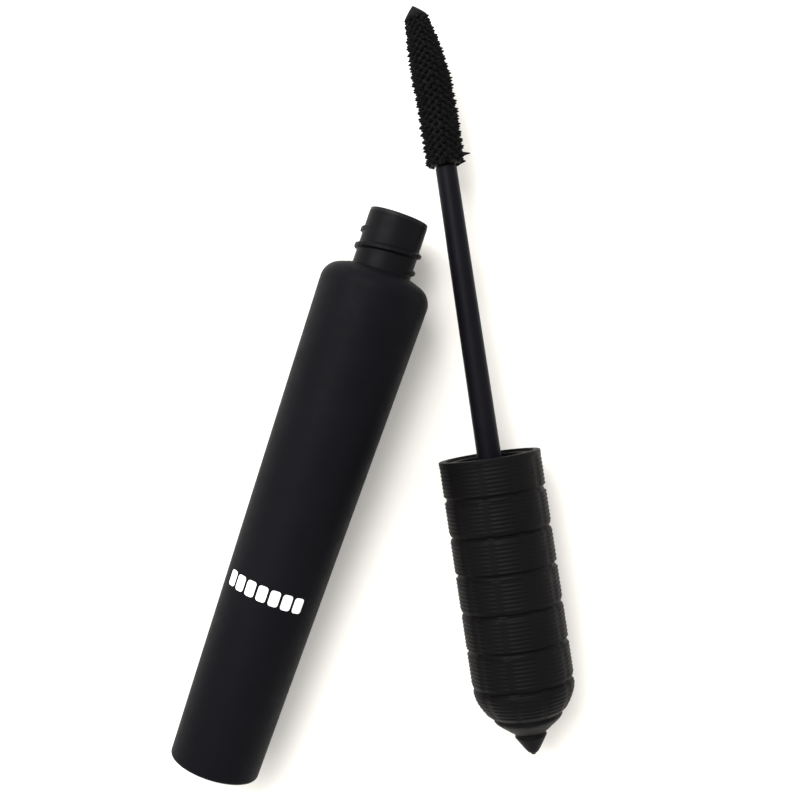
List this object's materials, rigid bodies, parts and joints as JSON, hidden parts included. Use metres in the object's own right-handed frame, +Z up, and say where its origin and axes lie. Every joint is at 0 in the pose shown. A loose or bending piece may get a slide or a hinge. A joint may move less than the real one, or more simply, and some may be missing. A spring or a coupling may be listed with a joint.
{
  "type": "mascara tube",
  "caption": "Slim tapered mascara bottle with a threaded neck, and its bullet-shaped ribbed cap with rod and brush, laid open beside it.",
  "frame": {"origin": "centre of the footprint on the surface that the bottle and the wand lie on", "axes": "+Y along the bottle in plan, from its base to its mouth; +Z up from the surface; the wand lies to the +X side"},
  "size_m": [0.0601, 0.1266, 0.018],
  "materials": {
    "soft_touch_shell": "soft-touch matte lacquer",
    "label_film": "satin film, blank",
    "vial_plastic": "fine matte moulding",
    "wiper_plastic": "waxy soft plastic",
    "rod_plastic": "satin",
    "core_plastic": "satin",
    "brush_rubber": "moulded elastomer",
    "seal_foam": "closed-cell foam",
    "weight_steel": "plain turned steel",
    "cap_rubber": "matte, finely ribbed"
  },
  "bodies": {
    "bottle": {"outer_shell": "soft_touch_shell", "base_plug": "soft_touch_shell", "base_label": "label_film", "vial": "vial_plastic", "wiper": "wiper_plastic"},
    "rod": {"rod": "rod_plastic"},
    "cap": {"overcap": "cap_rubber", "inner_cap": "vial_plastic", "seal_ring": "seal_foam", "cap_weight": "weight_steel", "brush_core": "core_plastic", "bristles": "brush_rubber"}
  },
  "joints": [
    {"name": "wand_swing", "type": "hinge", "parent": "bottle", "child": "rod", "pos_m": [-0.02177, 0.05458, 0.0083], "axis": [-0.4947, -0.1297, 0.8593], "range_deg": [0, 155.82]},
    {"name": "cap_twist", "type": "hinge", "parent": "rod", "child": "cap", "pos_m": [0.00513, -0.00127, 0.0083], "axis": [-0.4587, 0.8886, 0], "range_deg": [0, 540]}
  ]
}
